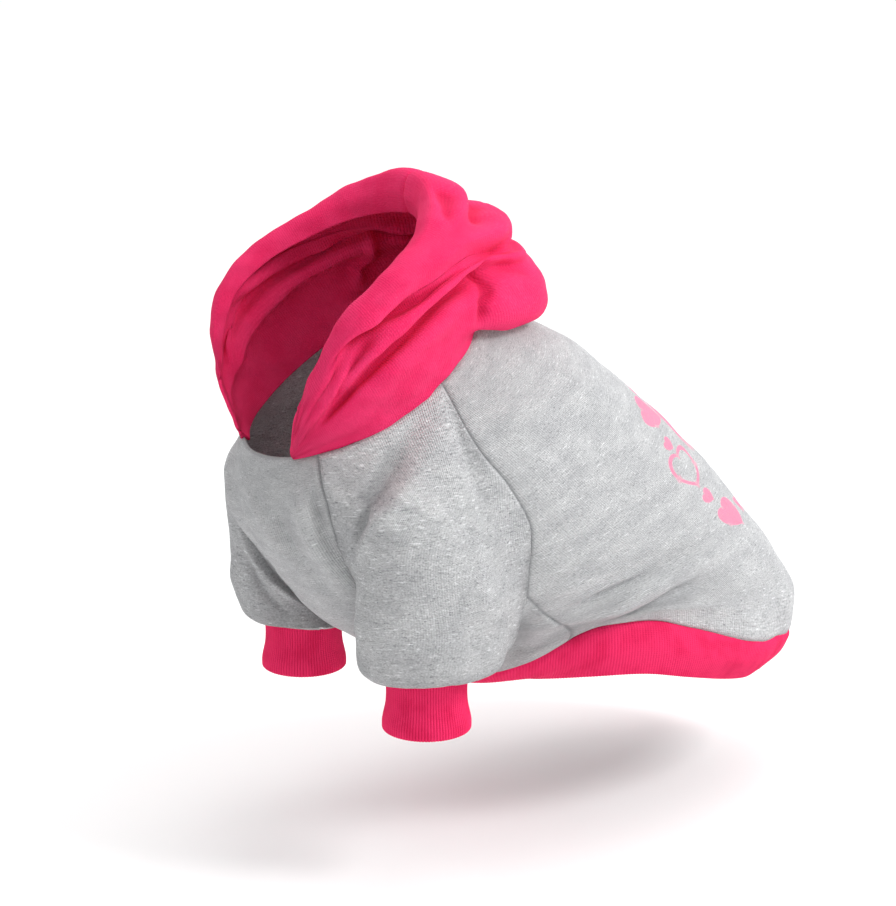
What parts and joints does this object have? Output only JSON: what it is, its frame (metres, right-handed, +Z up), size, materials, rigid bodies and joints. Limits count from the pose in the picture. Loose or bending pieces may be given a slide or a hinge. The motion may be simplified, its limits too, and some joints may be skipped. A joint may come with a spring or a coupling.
{
  "type": "dog sweatshirt",
  "caption": "Hooded raglan sweatshirt for a small dog, worn shape: marled fleece body, folded jersey hood, ribbed cuffs and hem band.",
  "frame": {"origin": "the point of the back panel that rests on the wearer's withers, in the middle of the cloth's thickness", "axes": "+X towards the wearer's tail, +Y to the wearer's right, +Z up; the neck faces -X"},
  "size_m": [0.3651, 0.1868, 0.3269],
  "materials": {
    "fleece": "matte",
    "jersey": "matte",
    "rib": "matte"
  },
  "bodies": {
    "root": {"back_panel": "fleece", "chest_panel": "fleece", "left_sleeve": "fleece", "right_sleeve": "fleece", "left_hood": "jersey", "right_hood": "jersey", "hem_band": "rib", "left_cuff": "rib", "right_cuff": "rib"}
  },
  "joints": []
}
